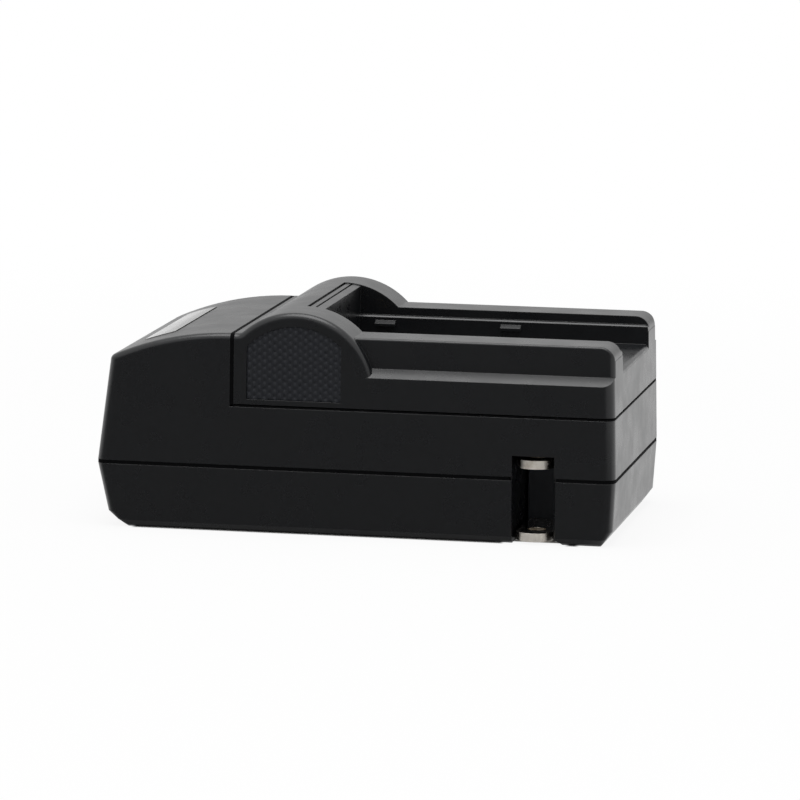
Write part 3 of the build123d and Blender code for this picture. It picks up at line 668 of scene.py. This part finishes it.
def make_floor():
    """Pale floor that shows white, with a share of its own shading near the object and only that under it.

    The shaded patch under the object leaves out the mouth of the plug slot.
    """
    square = np.array([(-1, -1), (1, -1), (1, 1), (-1, 1)]) * FLOOR_HALF
    corners = np.column_stack([square, np.full(len(square), FLOOR_LEVEL)])
    material = bpy.data.materials.new("floor")
    tree = bare_tree(material)
    place = tree.add("ShaderNodeTexCoord").outputs["Object"]
    away = tree.add("ShaderNodeVectorMath", {"operation": "LENGTH"}, Vector=place).outputs["Value"]
    spread = tree.axes(place)
    end_x = tree.calc("SUBTRACT", tree.calc("ABSOLUTE", spread["X"]), cad_box[1][0] - FLOOR_END)
    side_y = tree.calc("SUBTRACT", tree.calc("ABSOLUTE", spread["Y"]), cad_box[1][1] - FLOOR_SIDE)
    aside = tree.calc("ABSOLUTE", tree.calc("SUBTRACT", spread["X"], MOUTH_MIDDLE))
    mouth_x = tree.calc("SUBTRACT", MOUTH_HALF, aside)
    mouth_y = tree.calc("SUBTRACT", MOUTH_INNER, spread["Y"])
    mouth = tree.calc("MINIMUM", mouth_x, mouth_y)
    outside = tree.calc("MAXIMUM", tree.calc("MAXIMUM", end_x, side_y), mouth)
    clear = tree.span(outside, -FLOOR_FADE, 0.0)
    share = tree.calc("MULTIPLY", clear, tree.span(away, FLOOR_NEAR, FLOOR_FAR, FLOOR_WHITE, 1.0))
    white = tree.calc("MULTIPLY", tree.calc("MAXIMUM", *ray_masks(tree)), share)
    shade = tree.add("ShaderNodeBsdfDiffuse", None, Color=FLOOR_COLOUR)
    glow = tree.add("ShaderNodeEmission", None, Color=WHITE, Strength=1.0)
    mix = tree.add("ShaderNodeMixShader", None, Fac=white)
    tree.feed(mix.inputs[1], shade.outputs[0])
    tree.feed(mix.inputs[2], glow.outputs[0])
    tree.feed(tree.add("ShaderNodeOutputMaterial").inputs[0], mix.outputs[0])
    add_piece("floor", corners, np.array([(0, 1, 2, 3)]), material)


def make_light():
    """White surroundings that light the object softly, dimmer low down in mirror images, and a wide lamp."""
    world = bpy.data.worlds.new("studio")
    bpy.context.scene.world = world
    tree = bare_tree(world)
    height = tree.axes(tree.add("ShaderNodeTexCoord").outputs["Object"])["Z"]
    shown, mirrored = ray_masks(tree)
    more = tree.span(height, SKY_LOW, SKY_HIGH, HORIZON - AMBIENT, 1.0 - AMBIENT)
    mirror = tree.calc("MULTIPLY", mirrored, more)
    direct = tree.calc("MULTIPLY", shown, 1.0 - AMBIENT)
    bright = tree.calc("ADD", direct, tree.calc("ADD", mirror, AMBIENT))
    sky = tree.add("ShaderNodeBackground", None, Color=WHITE, Strength=bright)
    tree.feed(tree.add("ShaderNodeOutputWorld").inputs[0], sky.outputs[0])
    lamp = bpy.data.lights.new("overhead", "AREA")
    lamp.shape = "DISK"
    lamp.size = LAMP_SIZE
    lamp.energy = LAMP_POWER
    holder = bpy.data.objects.new("overhead", lamp)
    holder.location = LAMP_PLACE
    bpy.context.scene.collection.objects.link(holder)


def make_card():
    """Dark card in front, seen only in reflections: it lies on the floor, bends up and stands.

    The profile runs along -Y at floor level, turns through the angle t on a circle of the bend's radius,
    y = far - bend * sin(t) and z = bend * (1 - cos(t)), then runs straight up. Past the ends of the object
    its near edge brightens softly to the floor's white, so that the ends don't mirror a hard edge.
    """
    turn = np.linspace(0.0, QUARTER, CARD_POINTS)
    y = np.concatenate([[CARD_NEAR], CARD_FAR - CARD_BEND * np.sin(turn), [CARD_FAR - CARD_BEND]])
    z = np.concatenate([[0.0], CARD_BEND * (1 - np.cos(turn)), [CARD_HEIGHT]]) + CARD_LIFT
    x = np.array([CARD_LEFT, CARD_RIGHT])
    points = np.stack(np.broadcast_arrays(x, y[:, None], z[:, None]), axis=2).reshape(-1, 3)
    material = bpy.data.materials.new("dark_card")
    tree = bare_tree(material)
    place = tree.axes(tree.add("ShaderNodeTexCoord").outputs["Object"])
    edge = tree.span(place["Y"], CARD_NEAR - CARD_SOFT, CARD_NEAR)
    past = tree.span(tree.calc("ABSOLUTE", place["X"]), cad_box[1][0] - FLOOR_END, cad_box[1][0])
    fade = tree.calc("MULTIPLY", tree.calc("MULTIPLY", edge, past), FLOOR_WHITE - CARD_GREY)
    bright = tree.calc("ADD", fade, CARD_GREY)
    glow = tree.add("ShaderNodeEmission", None, Color=WHITE, Strength=bright)
    tree.feed(tree.add("ShaderNodeOutputMaterial").inputs[0], glow.outputs[0])
    card = add_piece("dark_card", points, grid_faces(len(y), len(x)), material)
    card.visible_camera = False
    card.visible_diffuse = False
    card.visible_shadow = False
    card.visible_transmission = False


materials = make_finishes()
dress(materials)
make_grip("near_grip", -1, materials["grip"])
make_grip("far_grip", 1, materials["grip"])
# dark strips of painted shade in the grooves and gaps
make_shade_strips(materials["joint"])
make_camera()
make_floor()
make_light()
make_card()
bpy.context.scene.view_settings.view_transform = "Standard"
